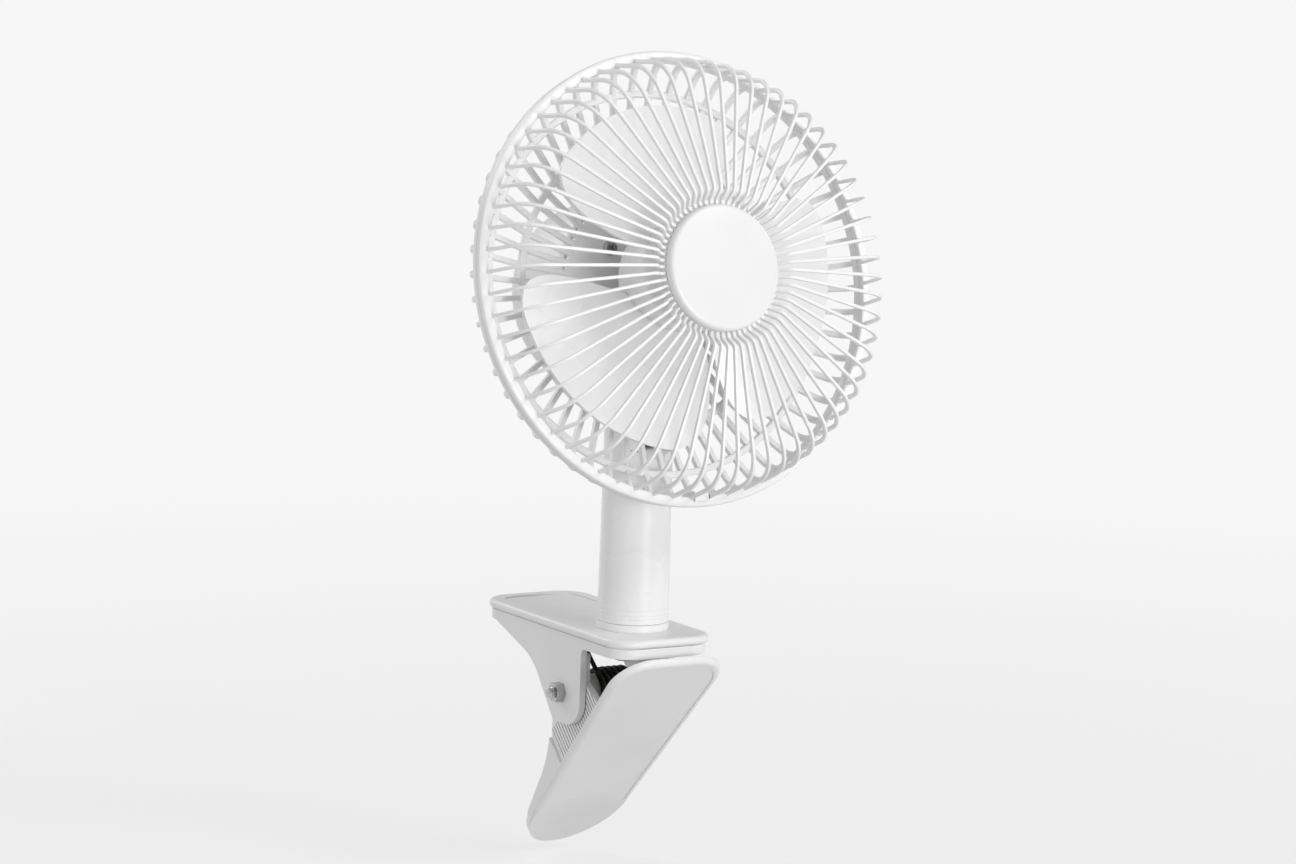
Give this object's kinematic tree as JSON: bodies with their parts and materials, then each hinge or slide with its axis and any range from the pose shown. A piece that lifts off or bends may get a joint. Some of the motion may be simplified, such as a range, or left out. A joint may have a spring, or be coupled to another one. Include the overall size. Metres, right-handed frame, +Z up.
{
  "type": "clip fan",
  "caption": "Small caged fan on a short swivelling, tilting post that stands on a sprung clip for a shelf or table edge.",
  "frame": {"origin": "middle of the upper jaw pad's gripping face, which rests on the shelf or table edge", "axes": "+Z up, the fan faces -Y, +X to the fan's left as seen from behind it; the pivot nut is at -X"},
  "size_m": [0.196, 0.1672, 0.3618],
  "materials": {
    "white_plastic": "satin white",
    "blade_plastic": "satin white",
    "pad_rubber": "matt grey",
    "black_rubber": "matt black",
    "zinc_steel": "bright zinc",
    "spring_steel": "black oxide",
    "nylon": "natural",
    "steel": "ground",
    "lamination": "stacked sheet",
    "copper": "enamelled copper wire",
    "bronze": "sintered",
    "phenolic": "black"
  },
  "bodies": {
    "clip": {"top_plate": "white_plastic", "upper_jaw": "white_plastic", "upper_jaw_pad": "pad_rubber", "pivot_bolt": "zinc_steel", "pivot_nut": "zinc_steel", "spring_bush": "nylon", "torsion_spring": "spring_steel"},
    "lever": {"lever": "white_plastic", "lever_pad": "pad_rubber"},
    "post": {"post": "white_plastic", "swivel_washer": "zinc_steel", "swivel_screw": "zinc_steel", "tilt_bolt": "zinc_steel", "tilt_nut": "zinc_steel", "tilt_washers": "nylon"},
    "head": {"front_guard": "white_plastic", "guard_cap": "white_plastic", "rear_guard": "white_plastic", "guard_latch": "white_plastic", "guard_screws": "zinc_steel", "motor_front_housing": "white_plastic", "motor_rear_housing": "white_plastic", "housing_screws": "zinc_steel", "tilt_bracket": "white_plastic", "bracket_screws": "zinc_steel", "stator_core": "lamination", "stator_coils": "copper", "front_bearing": "bronze", "bearing_bridge": "steel", "rear_bearing": "bronze", "switch_body": "phenolic", "cord_grommet": "black_rubber"},
    "rotor": {"fan_blade": "blade_plastic", "blade_nut": "nylon", "motor_shaft": "steel", "rotor_core": "lamination"},
    "knob": {"speed_knob": "white_plastic"}
  },
  "joints": [
    {"name": "clip_squeeze", "type": "hinge", "parent": "clip", "child": "lever", "pos_m": [0, 0.0365, -0.0207], "axis": [1, 0, 0], "range_deg": [0, 30], "stiffness_Nm_per_rad": 0.8, "springref_deg": -80.21, "deforming": ["torsion_spring"]},
    {"name": "post_swivel", "type": "hinge", "parent": "clip", "child": "post", "pos_m": [0, 0.0175, 0.0135], "axis": [0, 0, 1], "range_deg": [-90, 90]},
    {"name": "head_tilt", "type": "hinge", "parent": "post", "child": "head", "pos_m": [0, 0.0175, 0.102], "axis": [1, 0, 0], "range_deg": [-35, 20]},
    {"name": "blade_spin", "type": "hinge", "parent": "head", "child": "rotor", "pos_m": [0, -0.00985, 0.16579], "axis": [0, 0.9744, -0.225], "continuous": true},
    {"name": "knob_turn", "type": "hinge", "parent": "head", "child": "knob", "pos_m": [0, 0.0681, 0.14779], "axis": [0, 0.9744, -0.225], "range_deg": [0, 90]}
  ]
}
